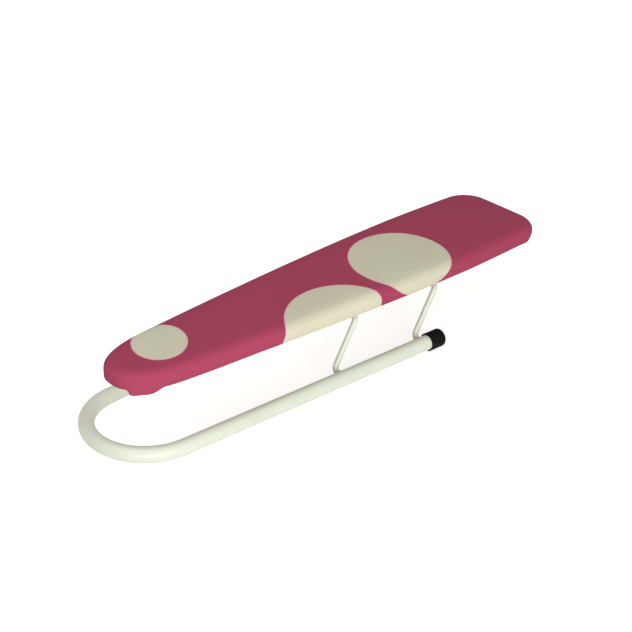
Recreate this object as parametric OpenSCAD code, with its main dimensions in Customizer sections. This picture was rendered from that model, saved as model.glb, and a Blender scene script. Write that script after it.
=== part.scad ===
// Sleeve ironing board that folds flat.
//
// A hairpin-bent tube lies on the table. Two bent rods stand up from it and carry
// a narrow padded board. The rods turn at both ends like the arms of a parallel
// linkage, so the board stays level while it swings over the bend and lies down.
//
// Lengths run along X from the nose tip to the wide end, Y is across the board
// and Z is up from the table. Each node is then shifted so that the origin is
// under the middle of the whole object.

/* [Board] */
// Length of the covered board
board_len = 550; // [480:1:620]
// Width of the covered board where it is widest
board_w = 122.8; // [116:0.2:128]
// Distance from the nose tip to the widest place
widest_x = 425; // [400:1:450]
// How much each side has drawn in at the taper's reference place
taper_drop = 18.3; // [14:0.1:22]
// Distance from the widest place to the taper's reference place
taper_run = 324; // [300:1:350]
// Power of the taper's curve, where 1 is a straight taper
taper_power = 1.6; // [1.4:0.05:2]
// Length of the rounded nose
nose_len = 60; // [50:1:80]
// Power of the nose's curve, where 2 is an ellipse
nose_power = 2.5; // [2:0.1:3]
// Corner radius at the wide end
end_corner_r = 32; // [20:1:40]

/* [Panel, pad and cover] */
// Thickness of the wooden panel
panel_t = 11; // [9:0.5:14]
// Thickness of the foam pad on top of the panel
foam_t = 4.5; // [3:0.1:6]
// Thickness of the cover's cotton cloth
cover_t = 0.8; // [0.5:0.1:1]
// Gap between the cover and the panel's edge
panel_edge_gap = 0.6; // [0.3:0.1:1]
// Radius of the padded top edge
edge_round_r = 8; // [6:0.5:9]
// Width of the hem that is turned under the panel
hem_w = 18; // [14:0.5:20]
// How far the bunched cloth hangs below the hem at the shoulders of the nose
gather_drop = 6; // [0:0.5:7]
// Distance from the nose tip to the thickest bunched cloth
gather_x = 18; // [14:1:24]
// Length over which the bunched cloth thins out towards the wide end
gather_run = 28; // [20:1:34]
// Width of the bunched cloth, in from the edge
gather_w = 7.5; // [6:0.5:8]

/* [Base tube] */
// Outer diameter of the tube
tube_d = 16; // [14:0.5:19]
// Wall of the tube
tube_wall = 1.2; // [1:0.1:1.6]
// Radius of the hairpin bend, to the middle of the tube
bend_r = 58.4; // [55:0.2:61]
// Distance from the nose tip back to the centre of the bend
bend_x = 41.8; // [32:0.2:50]
// Angle by which each arm of the tube opens outwards
arm_splay = 2.95; // [2.8:0.05:3.3]
// Distance from the nose tip to the mouth of the end caps
cap_x = 351; // [351:0.2:365]

/* [End caps] */
// Outer diameter of an end cap
cap_d = 19.4; // [18:0.2:21]
// Length of an end cap
cap_len = 19.8; // [18:0.2:26]
// Thickness of the cap's closed end
cap_floor = 3; // [2:0.5:4]
// Edge rounding of the cap's closed end
cap_round_r = 2.8; // [1:0.2:3]
// Radial gap between the tube and the cap's bore
cap_gap = 0.05; // [0.02:0.01:0.1]

/* [Leg frames] */
// Diameter of the rod that the leg frames are bent from
rod_d = 6; // [5:0.2:6.4]
// Bend radius of the rod at the crossbar, to its middle
rod_bend_r = 5; // [4.6:0.1:5.4]
// Bend radius of the rod at a foot, to its middle
foot_bend_r = 7; // [5:0.2:8]
// Length of a leg between its two pivots
leg_len = 59.2; // [56:0.2:66]
// Lean of the legs from upright, towards the wide end
leg_lean = 29.7; // [26:0.1:33]
// Distance from the nose tip to the feet of the nose leg frame
nose_foot_x = 237; // [225:0.5:237.5]
// Distance between the feet of the two leg frames
foot_pitch = 110.4; // [106:0.2:110.4]
// Height of the foot pivots above the table
foot_z = 10; // [9.4:0.1:10.2]
// Length of a foot inside the tube, past the middle of the tube
foot_reach = 2; // [0:0.5:3]
// How far the wide frame's crossbar is cranked towards the nose
crank_reach = 10.4; // [10.2:0.1:11]
// Half width of the crank, to the middle of the rod
crank_half_w = 11; // [10.5:0.1:11.5]

/* [Foot bushes] */
// Radial running gap around a foot
foot_gap = 0.05; // [0.03:0.01:0.09]
// Wall of a bush
bush_wall = 0.5; // [0.4:0.05:0.5]
// Length of a bush's sleeve
bush_len = 3.6; // [3:0.1:4]
// Diameter of a bush's flange
bush_flange_d = 7.8; // [7.5:0.1:7.8]
// Thickness of a bush's flange
bush_flange_t = 0.5; // [0.4:0.1:0.8]
// Gap between a bush's flange and the bend of the rod
bush_side_gap = 0.2; // [0.2:0.05:0.5]

/* [Saddles] */
// Thickness of the saddles' sheet steel
saddle_t = 1.2; // [1:0.1:1.5]
// Length of a saddle along the board
saddle_len = 34; // [32:1:38]
// Width of a saddle across the board
saddle_w = 14; // [12:0.5:14]
// Distance from the board's middle line to the middle of a saddle
saddle_y = 26; // [25.5:0.5:28]
// Radial running gap of the crossbar in the wide frame's saddles
wide_saddle_gap = 0.05; // [0.03:0.01:0.09]
// Radial gap of the crossbar in the nose frame's saddles
nose_saddle_gap = 0.1; // [0.05:0.01:0.1]
// Distance from the crossbar to a saddle's screws
saddle_screw_x = 11.5; // [10:0.5:12]

/* [Screws and stop plate] */
// Diameter of the screws' shanks
screw_d = 3.2; // [2.8:0.1:3.6]
// Diameter of the screws' pan heads
screw_head_d = 6; // [5.6:0.1:6.4]
// Height of the screws' pan heads
screw_head_h = 1.8; // [1.4:0.1:2.2]
// Depth of the screws in the panel
screw_depth = 8; // [6:0.5:8.5]
// Radial gap of a shank in its holes
screw_gap = 0.05; // [0.02:0.01:0.1]
// Length of the stop plate along the board
stop_len = 17; // [16:1:20]
// Width of the stop plate across the board
stop_w = 36; // [30:1:37]
// Distance from the crank to the stop plate's screws, towards the nose
stop_screw_x = 7; // [6.8:0.1:8]
// Distance from the board's middle line to the stop plate's screws
stop_screw_y = 9; // [6:1:11]
// Gap between the crank and the stop plate
stop_gap = 0.05; // [0.02:0.01:0.2]

/* [Staples] */
// Width of a staple's crown
staple_w = 10; // [8:0.5:12]
// Depth of a staple's legs below the hem
staple_depth = 6; // [4:0.5:8]
// Breadth of the staple wire
staple_wire_w = 1.2; // [0.8:0.1:1.4]
// Thickness of the staple wire
staple_wire_t = 0.5; // [0.4:0.1:0.6]
// Distance between staples along the sides
staple_pitch = 40; // [38:1:42]
// Distance from the board's edge to the staples
staple_inset = 11; // [9.5:0.5:13]

/* [Hidden] */

$fn = 64;
LEFT = 1;
RIGHT = -1;
sliver = 0.01;
// A bend is a little fatter than its straight runs, which reach into it by run_in.
rod_bend_swell = 0.02;
tube_bend_swell = 0.12;
run_in = 0.3;

tube_r = tube_d / 2;
bend_tube_r = tube_r + tube_bend_swell;
cap_r = cap_d / 2;
rod_r = rod_d / 2;
screw_hole_r = screw_d / 2 + screw_gap;
front_x = bend_x - bend_r;
origin_x = (front_x - bend_tube_r + board_len) / 2;

// The caps are thicker than the tube, so the tube slopes down a little to its bend.
base_tilt = asin((cap_r - bend_tube_r) / (cap_x - front_x));

// Tangent points of the bend, and the middle line of the arms.
arm_start_x = bend_x - bend_r * sin(arm_splay);
arm_start_y = bend_r * cos(arm_splay);
tube_end_x = cap_x + (cap_len - cap_floor) * cos(arm_splay);
arm_len = (tube_end_x - arm_start_x) / cos(arm_splay) - cap_gap;
function arm_y(x) = arm_start_y + (x - arm_start_x) * tan(arm_splay);

wide_foot_x = nose_foot_x + foot_pitch;
lean_run = leg_len * sin(leg_lean);
crossbar_z = foot_z + leg_len * cos(leg_lean);
nose_bar_x = nose_foot_x + lean_run;
wide_bar_x = wide_foot_x + lean_run;
crank_x = wide_bar_x - crank_reach;
stop_lap = 1;

// The bush flange lies flat across an arm that runs at a slight angle.
bush_r = rod_r + foot_gap + bush_wall;
flange_back = bush_flange_d / 2 * tan(arm_splay);
function flange_y(foot_x) = arm_y(foot_x) - tube_r - flange_back;
function leg_y(foot_x) = flange_y(foot_x) - bush_flange_t - bush_side_gap - foot_bend_r;

// Heights of the layers of the board.
panel_z = crossbar_z + rod_r + wide_saddle_gap + saddle_t;
panel_top_z = panel_z + panel_t;
top_z = panel_top_z + foam_t + cover_t;
round_z = top_z - edge_round_r;
hem_gap = 0.05;
hem_top_z = panel_z - hem_gap;
hem_z = hem_top_z - cover_t;
hem_fold = 0.8;
panel_inset = cover_t + panel_edge_gap;
pad_gap = 0.1;

// Plan outline of the covered board, as half widths along X.
function taper_half_w(x) =
    board_w / 2 - taper_drop * pow(abs(x - widest_x) / taper_run, taper_power);
function nose_share(x) = pow(1 - pow((nose_len - x) / nose_len, nose_power), 1 / nose_power);
end_x = board_len - end_corner_r;
end_half_w = taper_half_w(end_x) - end_corner_r;

nose_steps = 16;
nose_crowding = 1.1;
side_steps = 20;
corner_steps = 10;
edge_steps = 6;

function nose_x(i) = nose_len * (1 - pow(cos(90 * i / nose_steps), nose_crowding));
nose_side = [for (i = [0 : nose_steps - 1]) let (x = nose_x(i)) [x, taper_half_w(x) * nose_share(x)]];
taper_side = [
    for (i = [0 : side_steps - 1])
        let (x = nose_len + (end_x - nose_len) * i / side_steps) [x, taper_half_w(x)]
];
corner_side = [
    for (i = [0 : corner_steps])
        let (a = 90 - 90 * i / corner_steps)
            [end_x + end_corner_r * cos(a), end_half_w + end_corner_r * sin(a)]
];
left_side = concat(nose_side, taper_side, corner_side);
right_side = [for (i = [len(left_side) - 1 : -1 : 1]) [left_side[i].x, -left_side[i].y]];
// Runs clockwise seen from above, from the nose tip along the left side.
outline = concat(left_side, right_side);
outline_n = len(outline);

function outward(i) =
    let (
        run = outline[(i + 1) % outline_n] - outline[(i + outline_n - 1) % outline_n],
        dir = run / norm(run)
    ) [-dir.y, dir.x];
function inset_point(i, inset) = outline[i] - inset * outward(i);
function inset_outline(inset) = [for (i = [0 : outline_n - 1]) inset_point(i, inset)];

// Drop of the bunched cloth: a smooth bump along X that starts at the nose tip.
function gather_at(x) =
    let (share = (x - gather_x) / (x < gather_x ? gather_x : gather_run))
        abs(share) < 1 ? gather_drop * pow(cos(90 * share), 2) : 0;

// A ring is [inset from the outline, height, share of the bunched cloth's drop].
function ring_points(ring) = [
    for (i = [0 : outline_n - 1])
        let (p = inset_point(i, ring[0]))
            [p.x, p.y, ring[1] - ring[2] * gather_at(outline[i].x)]
];
function band_faces(a, b) = [
    for (i = [0 : outline_n - 1])
        let (j = (i + 1) % outline_n)
            each [[a + i, b + j, b + i], [a + i, a + j, b + j]]
];
// Strips from the left side of a ring to its right side.
function lid_faces(a, up) = [
    for (i = [0 : len(left_side) - 2])
        let (
            l0 = a + i,
            l1 = a + i + 1,
            r0 = a + (outline_n - i) % outline_n,
            r1 = a + outline_n - i - 1
        )
            each [
                if (r0 != l0) up ? [l0, l1, r0] : [l0, r0, l1],
                up ? [l1, r1, r0] : [l1, r0, r1]
            ]
];
// Quarter round of the padded edge, from its side to its top.
function edge_rings(inset, radius, from, steps) = [
    for (i = [0 : steps])
        let (a = from + (90 - from) * i / steps)
            [inset + radius * (1 - cos(a)), round_z + radius * sin(a), 0]
];

cover_inner_r = edge_round_r - cover_t;
foam_r = cover_inner_r - pad_gap;
// The foam's round starts a little above the foot of its edge.
foam_lift = 6;
foam_from = asin((panel_top_z - round_z) / foam_r) + foam_lift;
outer_edge = edge_rings(0, edge_round_r, 0, edge_steps);
inner_edge = edge_rings(cover_t, cover_inner_r, 0, edge_steps);

// Staple places on the left: [x, y, turn about Z].
staple_sides = [
    for (x = [staple_pitch : staple_pitch : end_x + sliver])
        let (
            slope = (taper_half_w(x + 1) - taper_half_w(x - 1)) / 2,
            half = taper_half_w(x) * (x < nose_len ? nose_share(x) : 1)
        ) [x, half - staple_inset, atan(slope)]
];
nose_staple_x = 13;
nose_staple_y = 9;
nose_staple_turn = 70;
staple_ends = [
    for (y = [end_half_w, 0, -end_half_w]) [board_len - staple_inset, y, 90],
    for (side = [LEFT, RIGHT]) [nose_staple_x, side * nose_staple_y, side * nose_staple_turn]
];

// Moves a node from board coordinates to the object's own origin.
module placed() {
    translate([-origin_x, 0, 0]) children();
}

// Lays the hairpin's plane so that its bend and its caps both touch the table.
module on_table() {
    translate([front_x, 0, bend_tube_r]) rotate([0, -base_tilt, 0]) translate([-front_x, 0, 0]) children();
}

// Puts the children's Z axis along an arm, with Z = 0 at the arm's tangent point.
module along_arm(side) {
    on_table()
        translate([arm_start_x, side * arm_start_y, 0]) rotate([0, 0, side * arm_splay])
            rotate([0, 90, 0]) children();
}

// A straight round rod from one point to another.
module rod_run(from, to, radius) {
    run = to - from;
    translate(from) rotate([0, acos(run.z / norm(run)), atan2(run.y, run.x)])
        cylinder(h = norm(run), r = radius);
}

function unit(v) = v / norm(v);
function turn_angle(a, p, b) = acos(unit(p - a) * unit(b - p));
function bend_setback(a, p, b, bend) = bend * tan(turn_angle(a, p, b) / 2);

// A round bend at point p, on the way from a to b.
module rod_bend(a, p, b, radius, bend) {
    u = unit(p - a);
    v = unit(b - p);
    inward = unit(v - u * (u * v));
    start = p - u * bend_setback(a, p, b, bend);
    centre = start + bend * inward;
    n = cross(-inward, u);
    multmatrix([
        [-inward.x, u.x, n.x, centre.x],
        [-inward.y, u.y, n.y, centre.y],
        [-inward.z, u.z, n.z, centre.z],
        [0, 0, 0, 1]
    ])
        rotate_extrude(angle = turn_angle(a, p, b)) translate([bend, 0]) circle(r = radius + rod_bend_swell);
}

// A rod through a list of points, with a round bend at each inner point.
module bent_rod(points, radius, bend, end_bend) {
    last = len(points) - 1;
    bends = [for (i = [0 : last]) i == 1 || i == last - 1 ? end_bend : bend];
    back = [
        for (i = [0 : last])
            i == 0 || i == last ? 0
                : bend_setback(points[i - 1], points[i], points[i + 1], bends[i]) - run_in
    ];
    for (i = [1 : last]) {
        dir = unit(points[i] - points[i - 1]);
        rod_run(points[i - 1] + dir * back[i - 1], points[i] - dir * back[i], radius);
    }
    for (i = [1 : last - 1]) rod_bend(points[i - 1], points[i], points[i + 1], radius, bends[i]);
}

// The hairpin as a solid rod, of the tube's outside or of its hollow.
module hairpin(radius, extra) {
    on_table()
        translate([bend_x, 0, 0]) rotate([0, 0, 90 + arm_splay])
            rotate_extrude(angle = 180 - 2 * arm_splay) translate([bend_r, 0])
                circle(r = radius + tube_bend_swell);
    for (side = [LEFT, RIGHT])
        along_arm(side) translate([0, 0, -run_in]) cylinder(h = arm_len + run_in + extra, r = radius);
}

module base_tube() {
    color("ivory") placed()
        difference() {
            hairpin(tube_r, 0);
            hairpin(tube_r - tube_wall, 1);
            for (foot_x = [nose_foot_x, wide_foot_x], side = [LEFT, RIGHT])
                translate([foot_x, side * arm_y(foot_x), foot_z]) rotate([side * 90, 0, 0])
                    cylinder(h = tube_r + 1, r = bush_r + foot_gap);
        }
}

module end_cap(side) {
    mouth = (cap_x - arm_start_x) / cos(arm_splay);
    color("#2b2a23") placed() along_arm(side) translate([0, 0, mouth])
        difference() {
            rotate_extrude()
                union() {
                    square([cap_r, cap_len - cap_round_r]);
                    square([cap_r - cap_round_r, cap_len]);
                    translate([cap_r - cap_round_r, cap_len - cap_round_r]) circle(r = cap_round_r);
                }
            translate([0, 0, -1]) cylinder(h = cap_len - cap_floor + 1, r = tube_r + cap_gap);
        }
}

// A flanged sleeve whose flange lies against the inside of an arm.
module foot_bush(foot_x, side) {
    color("whitesmoke") placed()
        translate([foot_x, side * (flange_y(foot_x) - bush_flange_t), foot_z])
            rotate([-side * 90, 0, 0])
                difference() {
                    union() {
                        cylinder(h = bush_flange_t, r = bush_flange_d / 2);
                        cylinder(h = bush_flange_t + bush_len, r = bush_r);
                    }
                    translate([0, 0, -1]) cylinder(h = bush_len + bush_flange_t + 2, r = rod_r + foot_gap);
                }
}

// Points of a leg frame's middle line from the left foot to the crossbar.
function leg_points(foot_x, side) = [
    [foot_x, side * (arm_y(foot_x) + foot_reach), foot_z],
    [foot_x, side * leg_y(foot_x), foot_z],
    [foot_x + lean_run, side * leg_y(foot_x), crossbar_z]
];
crank_points = [
    [wide_bar_x, crank_half_w, crossbar_z],
    [crank_x, crank_half_w, crossbar_z - stop_gap],
    [crank_x, -crank_half_w, crossbar_z - stop_gap],
    [wide_bar_x, -crank_half_w, crossbar_z]
];
function reversed(list) = [for (i = [len(list) - 1 : -1 : 0]) list[i]];

module nose_leg_frame() {
    color("ivory") placed()
        bent_rod(
            concat(leg_points(nose_foot_x, LEFT), reversed(leg_points(nose_foot_x, RIGHT))),
            rod_r, rod_bend_r, foot_bend_r);
}

module wide_leg_frame() {
    color("ivory") placed()
        bent_rod(
            concat(
                leg_points(wide_foot_x, LEFT),
                crank_points,
                reversed(leg_points(wide_foot_x, RIGHT))),
            rod_r, rod_bend_r, foot_bend_r);
}

// A strip of sheet steel formed round the crossbar and closed against the panel.
module saddle(bar_x, side, gap) {
    bore_r = rod_r + gap;
    plate_z = panel_z - crossbar_z;
    color("silver") placed()
        translate([bar_x, side * saddle_y, crossbar_z])
            difference() {
                rotate([90, 0, 0]) linear_extrude(height = saddle_w, center = true)
                    difference() {
                        union() {
                            translate([-saddle_len / 2, plate_z - saddle_t]) square([saddle_len, saddle_t]);
                            circle(r = plate_z);
                            translate([-plate_z, 0]) square([2 * plate_z, plate_z]);
                        }
                        circle(r = bore_r);
                    }
                for (end = [-1, 1])
                    translate([end * saddle_screw_x, 0, plate_z - saddle_t - 1])
                        cylinder(h = saddle_t + 2, r = screw_hole_r);
            }
}

// A pan-head wood screw that points up, with the underside of its head at Z = 0.
module wood_screw(plate) {
    slot_w = screw_head_d / 8;
    slot_len = screw_head_d * 0.6;
    slot_depth = screw_head_h * 0.6;
    difference() {
        union() {
            translate([0, 0, -screw_head_h])
                cylinder(h = screw_head_h, d1 = screw_head_d * 0.8, d2 = screw_head_d);
            translate([0, 0, -sliver]) cylinder(h = plate + screw_depth, r = screw_d / 2);
        }
        for (turn = [0, 90])
            rotate([0, 0, turn])
                translate([-slot_len / 2, -slot_w / 2, -screw_head_h - 1])
                    cube([slot_len, slot_w, slot_depth + 1]);
    }
}

saddle_screw_places = [
    for (bar_x = [nose_bar_x, wide_bar_x], side = [LEFT, RIGHT], end = [-1, 1])
        [bar_x + end * saddle_screw_x, side * saddle_y]
];
stop_screw_places = [for (side = [LEFT, RIGHT]) [crank_x - stop_screw_x, side * stop_screw_y]];

module saddle_screws() {
    color("gainsboro") placed()
        for (p = saddle_screw_places) translate([p.x, p.y, panel_z - saddle_t]) wood_screw(saddle_t);
}

// The crank bears on this plate when the board stands up.
module stop_plate() {
    color("silver") placed()
        difference() {
            translate([crank_x + rod_r + stop_lap - stop_len, -stop_w / 2, panel_z - saddle_t])
                cube([stop_len, stop_w, saddle_t]);
            for (p = stop_screw_places)
                translate([p.x, p.y, panel_z - saddle_t - 1])
                    cylinder(h = saddle_t + 2, r = screw_hole_r);
        }
}

module stop_plate_screws() {
    color("gainsboro") placed()
        for (p = stop_screw_places) translate([p.x, p.y, panel_z - saddle_t]) wood_screw(saddle_t);
}

module board_panel() {
    color("burlywood") placed()
        difference() {
            translate([0, 0, panel_z]) linear_extrude(height = panel_t) polygon(inset_outline(panel_inset));
            for (p = concat(saddle_screw_places, stop_screw_places))
                translate([p.x, p.y, panel_z - 1])
                    cylinder(h = screw_depth + 1 + 2 * screw_gap, r = screw_hole_r);
        }
}

// A closed slab through a list of rings, flat above and below.
module slab(rings) {
    last = len(rings) - 1;
    polyhedron(
        points = [for (ring = rings) each ring_points(ring)],
        faces = concat(
            lid_faces(0, false),
            [for (i = [0 : last - 1]) each band_faces(i * outline_n, (i + 1) * outline_n)],
            lid_faces(last * outline_n, true)),
        convexity = 4);
}

module foam_pad() {
    lower_edge = [panel_inset, panel_top_z + pad_gap, 0];
    color("khaki") placed()
        slab(concat([lower_edge], edge_rings(cover_t + pad_gap, foam_r, foam_from, edge_steps)));
}

// The cloth: one skin over the top, down the edge and turned under to the hem.
module cover() {
    outer = concat(
        [[hem_w, hem_z, 0], [gather_w, hem_z, 0], [hem_fold, hem_z, 1], [0, hem_z + hem_fold, 1]],
        outer_edge);
    inner = concat(
        reversed(inner_edge),
        [[cover_t, hem_top_z, 1], [gather_w, hem_top_z, 0], [hem_w, hem_top_z, 0]]);
    rings = concat(outer, inner);
    top_ring = len(outer) - 1;
    last = len(rings) - 1;
    color("#b43c64") placed()
        polyhedron(
            points = [for (ring = rings) each ring_points(ring)],
            faces = concat(
                [for (i = [0 : top_ring - 1]) each band_faces(i * outline_n, (i + 1) * outline_n)],
                lid_faces(top_ring * outline_n, true),
                lid_faces((top_ring + 1) * outline_n, false),
                [for (i = [top_ring + 1 : last - 1]) each band_faces(i * outline_n, (i + 1) * outline_n)],
                band_faces(last * outline_n, 0)),
            convexity = 6);
}

// A staple with its crown against the hem and its legs in the panel.
module staple() {
    translate([-staple_w / 2, -staple_wire_w / 2, -staple_wire_t])
        cube([staple_w, staple_wire_w, staple_wire_t]);
    for (end = [-1, 1])
        translate([
            end * (staple_w - staple_wire_t) / 2 - staple_wire_t / 2,
            -staple_wire_w / 2,
            -staple_wire_t
        ])
            cube([staple_wire_t, staple_wire_w, staple_depth + staple_wire_t]);
}

module cover_staples() {
    color("lightgray") placed() {
        for (p = staple_sides, side = [LEFT, RIGHT])
            translate([p.x, side * p.y, hem_z]) rotate([0, 0, side * p[2]]) staple();
        for (p = staple_ends) translate([p.x, p.y, hem_z]) rotate([0, 0, p[2]]) staple();
    }
}

base_tube();
end_cap(LEFT);  // end_cap_left
end_cap(RIGHT);  // end_cap_right
foot_bush(nose_foot_x, LEFT);  // foot_bush_nose_left
foot_bush(nose_foot_x, RIGHT);  // foot_bush_nose_right
foot_bush(wide_foot_x, LEFT);  // foot_bush_wide_left
foot_bush(wide_foot_x, RIGHT);  // foot_bush_wide_right
nose_leg_frame();
wide_leg_frame();
saddle(nose_bar_x, LEFT, nose_saddle_gap);  // saddle_nose_left
saddle(nose_bar_x, RIGHT, nose_saddle_gap);  // saddle_nose_right
saddle(wide_bar_x, LEFT, wide_saddle_gap);  // saddle_wide_left
saddle(wide_bar_x, RIGHT, wide_saddle_gap);  // saddle_wide_right
saddle_screws();
stop_plate();
stop_plate_screws();
board_panel();
foam_pad();
cover();
cover_staples();
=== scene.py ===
# %% [markdown]
# # A sleeve ironing board that folds flat
# The real object has four bodies: a hairpin tube that lies on the table, two bent rods
# that stand up from it, and a narrow padded board. The solids come from the packed model.
# This script gives the hard parts real finishes, and makes the soft parts and the small
# fixings again with the detail that solids lack.

# %% Load the packed model
import math

import bmesh
import bpy
from mathutils import Matrix, Vector
from mathutils import noise


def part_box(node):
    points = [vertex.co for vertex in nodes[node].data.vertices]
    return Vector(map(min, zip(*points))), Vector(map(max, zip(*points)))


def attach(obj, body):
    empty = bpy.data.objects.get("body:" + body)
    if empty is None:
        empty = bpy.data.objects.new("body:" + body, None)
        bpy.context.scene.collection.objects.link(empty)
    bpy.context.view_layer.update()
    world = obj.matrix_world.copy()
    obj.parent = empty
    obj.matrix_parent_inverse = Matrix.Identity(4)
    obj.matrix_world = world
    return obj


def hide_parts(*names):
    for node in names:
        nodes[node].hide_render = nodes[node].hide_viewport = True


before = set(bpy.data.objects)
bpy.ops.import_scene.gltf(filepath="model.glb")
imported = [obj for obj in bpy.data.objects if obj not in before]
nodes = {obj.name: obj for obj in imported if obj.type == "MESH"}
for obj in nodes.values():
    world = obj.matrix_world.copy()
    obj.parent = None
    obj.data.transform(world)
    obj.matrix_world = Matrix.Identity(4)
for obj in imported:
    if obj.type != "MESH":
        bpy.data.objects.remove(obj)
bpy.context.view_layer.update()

MM = 0.001
scene = bpy.context.scene

# %% [markdown]
# ## The camera
# The camera comes first, because every later choice is judged through it. It looks down
# at the nose end, with a long lens, so the board hardly narrows with distance. It is
# placed from an aim point, two angles and a distance, which are easier to change than
# three coordinates. A small slide centres the view.

# %% Camera
AZIMUTH = math.radians(-44.04)
ELEVATION = math.radians(29.37)
ROLL = math.radians(1.84)
DISTANCE = 1.6116
LENS = 88.51
AIM_POINT = Vector((12.4, 0, 36.1)) * MM
SLIDE = Vector((-10.27, 0.81)) * MM
SENSOR_WIDTH = 36

back = Vector((
    math.sin(AZIMUTH) * math.cos(ELEVATION),
    -math.cos(AZIMUTH) * math.cos(ELEVATION),
    math.sin(ELEVATION),
))
level_right = Vector((0, 0, 1)).cross(back).normalized()
level_up = back.cross(level_right)
right = level_right * math.cos(ROLL) + level_up * math.sin(ROLL)
up = level_up * math.cos(ROLL) - level_right * math.sin(ROLL)

camera = bpy.data.objects.new("camera", bpy.data.cameras.new("camera"))
scene.collection.objects.link(camera)
camera.data.lens = LENS
camera.data.sensor_width = SENSOR_WIDTH
turn = Matrix((right, up, back)).transposed().to_4x4()
place = AIM_POINT + back * DISTANCE + right * SLIDE.x + up * SLIDE.y
camera.matrix_world = Matrix.Translation(place) @ turn
scene.camera = camera
scene.view_settings.view_transform = "Standard"
print("camera stands at", [round(v, 3) for v in place])

# %% [markdown]
# ## Colours
# A shader works with amounts of light. A colour is easier to choose as a screen shows it,
# from 0 to 255, so one helper turns it into light.

# %% Screen colours as light
def srgb(red, green, blue):
    """A colour as a screen shows it, from 0 to 255, in the units of a shader."""
    def linear(v):
        v /= 255
        return v / 12.92 if v <= 0.04045 else ((v + 0.055) / 1.055) ** 2.4
    return (linear(red), linear(green), linear(blue), 1)


print("middle grey on a screen is", round(srgb(128, 128, 128)[0], 3), "as light")

# %% [markdown]
# ## Node helpers
# A material is a small graph. These helpers add a node with its settings and join two
# sockets, so that each finish below reads as a short list of what it mixes. The first two
# also serve the world and the trees that set out the fixings. Most of a noise lies
# between 0.3 and 0.7, so a finish often spreads that span.

# %% Helpers for node trees and materials
MIDDLE = (0.3, 0.7)


def put(tree, value, socket):
    """Links a node or a socket to an input, or sets the input to a plain value."""
    if isinstance(value, bpy.types.Node):
        value = value.outputs[0]
    if isinstance(value, bpy.types.NodeSocket):
        tree.links.new(value, socket)
    else:
        socket.default_value = value


def add_node(tree, kind, inputs=(), **settings):
    made = tree.nodes.new(kind)
    for key, value in settings.items():
        setattr(made, key, value)
    for key, value in dict(inputs).items():
        put(tree, value, made.inputs[key])
    return made


class Finish:
    """A material with one Principled shader and helpers that add nodes to it."""

    def __init__(self, name, **sockets):
        self.material = bpy.data.materials.new(name)
        self.material.use_nodes = True
        self.tree = self.material.node_tree
        self.shader = self.tree.nodes["Principled BSDF"]
        for socket, value in sockets.items():
            self.shader.inputs[socket.replace("_", " ")].default_value = value

    def node(self, kind, inputs=(), **settings):
        return add_node(self.tree, kind, inputs, **settings)

    def drive(self, name, value):
        put(self.tree, value, self.shader.inputs[name])

    def math(self, operation, *values):
        return self.node("ShaderNodeMath", enumerate(values), operation=operation).outputs[0]

    def object_point(self):
        return self.node("ShaderNodeTexCoord").outputs["Object"]

    def uv_point(self, layer):
        return self.node("ShaderNodeUVMap", uv_map=layer).outputs["UV"]

    def noise(self, point, scale, detail, roughness=0.5):
        return self.node("ShaderNodeTexNoise", {
            "Vector": point, "Scale": scale, "Detail": detail, "Roughness": roughness,
        }).outputs[0]

    def ramp(self, value, *stops):
        made = self.node("ShaderNodeValToRGB", {"Fac": value})
        elements = made.color_ramp.elements
        while len(elements) < len(stops):
            elements.new(0.5)
        for element, (position, colour) in zip(elements, stops):
            element.position = position
            element.color = colour
        return made.outputs[0]

    def mix(self, share, first, second):
        made = self.node("ShaderNodeMix", {"Factor": share, "A": first, "B": second},
                         data_type="RGBA")
        return next(o for o in made.outputs if o.type == "RGBA")

    def span(self, value, low, high, to_low=0.0, to_high=1.0):
        return self.node("ShaderNodeMapRange", {
            "Value": value, "From Min": low, "From Max": high,
            "To Min": to_low, "To Max": to_high,
        }).outputs[0]

    def bump(self, height, distance, strength):
        self.drive("Normal", self.node("ShaderNodeBump", {
            "Height": height, "Distance": distance, "Strength": strength}))

    def colour(self, value):
        self.drive("Base Color", value)

    def roughness(self, value):
        self.drive("Roughness", value)


def wear(obj, finish):
    """Puts one finish on every material slot of an object."""
    if not obj.material_slots:
        obj.data.materials.append(finish.material)
    for slot in obj.material_slots:
        slot.material = finish.material


print("a finish can:", [name for name in vars(Finish) if not name.startswith("_")])

# %% [markdown]
# ## The floor
# The floor is an ordinary pale matt surface, so that it keeps the object's shadow. It also
# glows a little, but only for rays that look at it, straight or by way of a gloss or a
# clear thing. So it looks white and yet throws no extra light on the object.

# %% White floor
WHITE = (1, 1, 1, 1)
SEEN_BY = ("Is Camera Ray", "Is Glossy Ray", "Is Transmission Ray")
FLOOR_HALF = 4.0
FLOOR_DROP = 0.2 * MM
FLOOR_GREY = 0.86
FLOOR_GLOW = 0.66


def seen_rays(tree):
    """1 for the rays that show the background, 0 for those that light the object."""
    path = add_node(tree, "ShaderNodeLightPath")
    switch = path.outputs[SEEN_BY[0]]
    for ray in SEEN_BY[1:]:
        switch = add_node(tree, "ShaderNodeMath", {0: switch, 1: path.outputs[ray]},
                          operation="MAXIMUM").outputs[0]
    return switch


def make_floor():
    half, z = FLOOR_HALF, -FLOOR_DROP
    mesh = bpy.data.meshes.new("floor")
    mesh.from_pydata(
        [(-half, -half, z), (half, -half, z), (half, half, z), (-half, half, z)],
        [], [(0, 1, 2, 3)])
    floor = bpy.data.objects.new("floor", mesh)
    scene.collection.objects.link(floor)
    grey = (FLOOR_GREY, FLOOR_GREY, FLOOR_GREY, 1)
    finish = Finish("floor_white", Base_Color=grey, Roughness=1.0, Specular_IOR_Level=0,
                    Emission_Color=WHITE)
    finish.drive("Emission Strength",
                 finish.math("MULTIPLY", seen_rays(finish.tree), FLOOR_GLOW))
    wear(floor, finish)


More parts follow.
